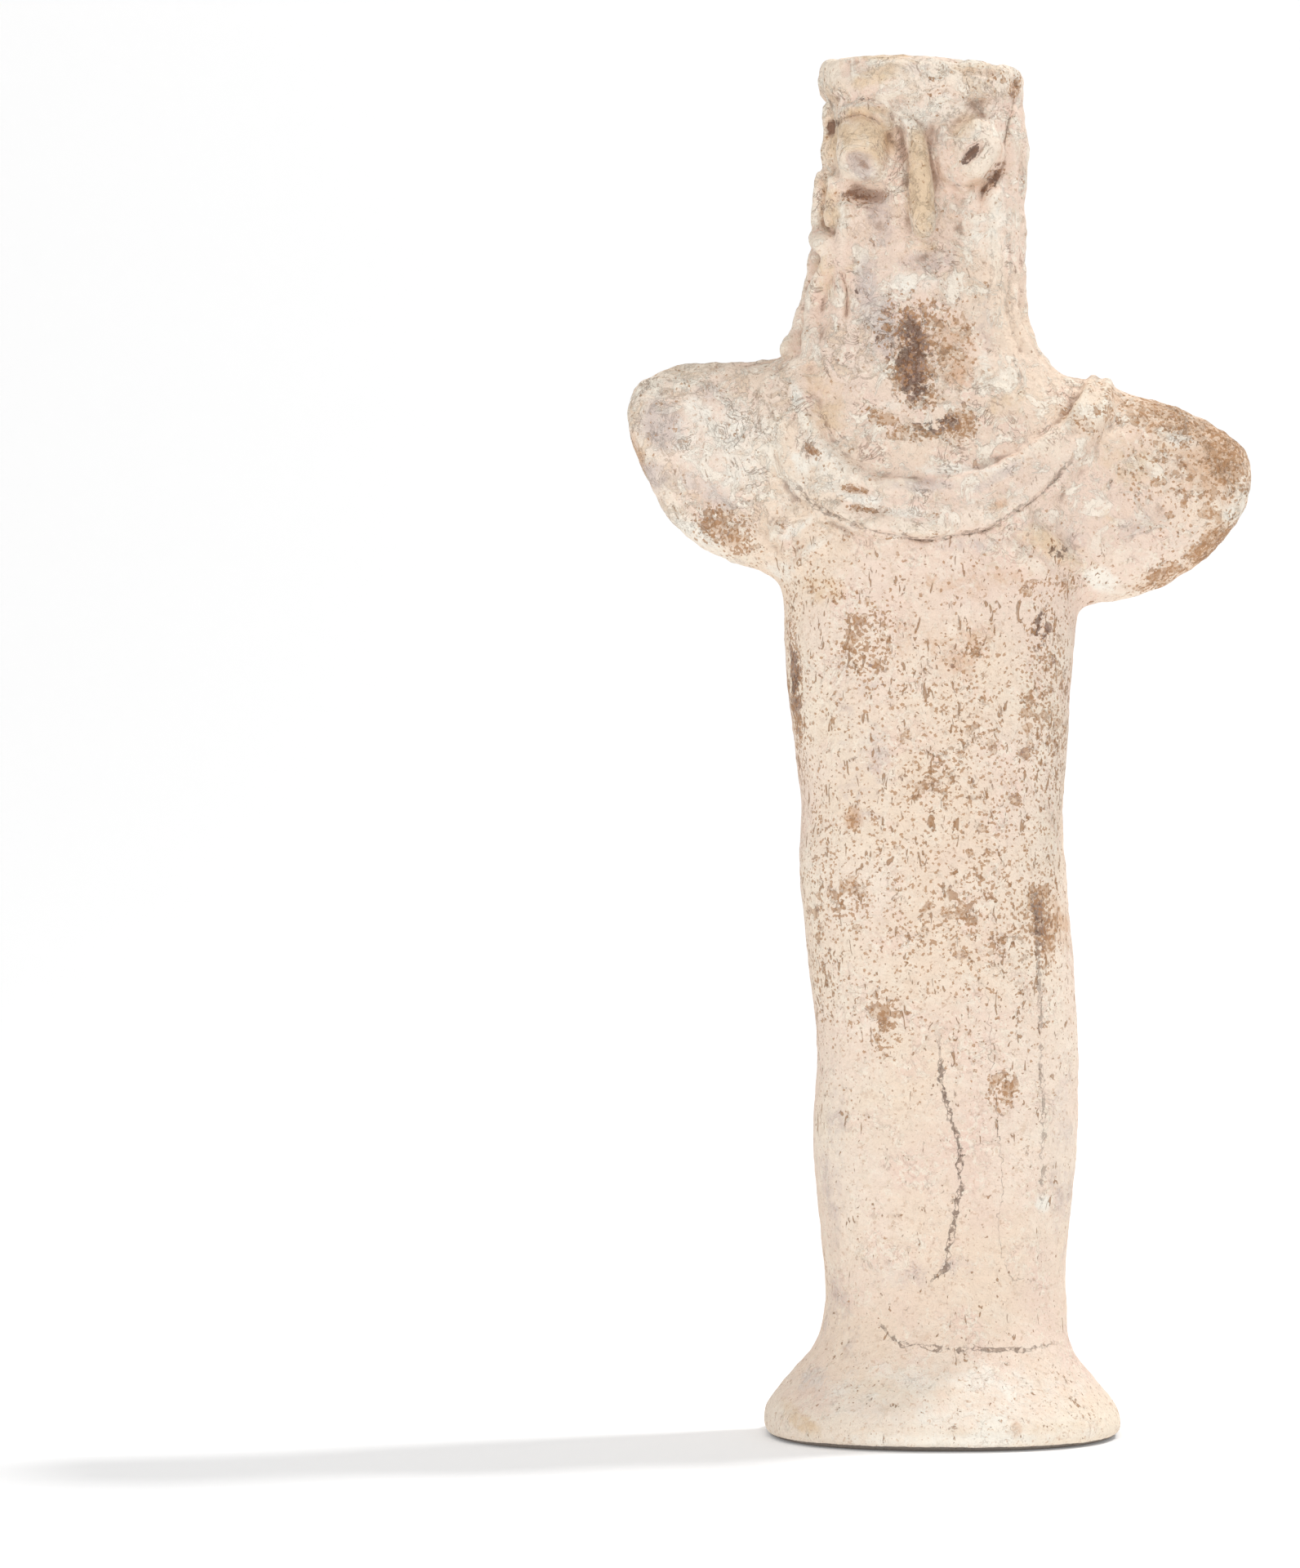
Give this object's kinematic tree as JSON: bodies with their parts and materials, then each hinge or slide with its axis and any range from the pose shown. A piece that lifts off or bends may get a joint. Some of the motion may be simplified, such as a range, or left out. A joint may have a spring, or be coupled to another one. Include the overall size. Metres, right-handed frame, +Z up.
{
  "type": "terracotta idol",
  "caption": "Hand-modelled terracotta idol: a pillar body on a flared foot, short flat arms bent to the chest, and a long-haired head with pellet eyes, a headband and a rolled collar.",
  "frame": {"origin": "middle of the foot's flat underside", "axes": "+Z up along the pillar, -Y towards the front that the face looks to, +X to the right of someone facing the idol"},
  "size_m": [0.1, 0.053, 0.22],
  "materials": {
    "terracotta": "unglazed, matt and weathered: pale pinkish cream clay with brown specks, ochre bloom and dark stains"
  },
  "bodies": {
    "root": {"idol": "terracotta"}
  },
  "joints": []
}
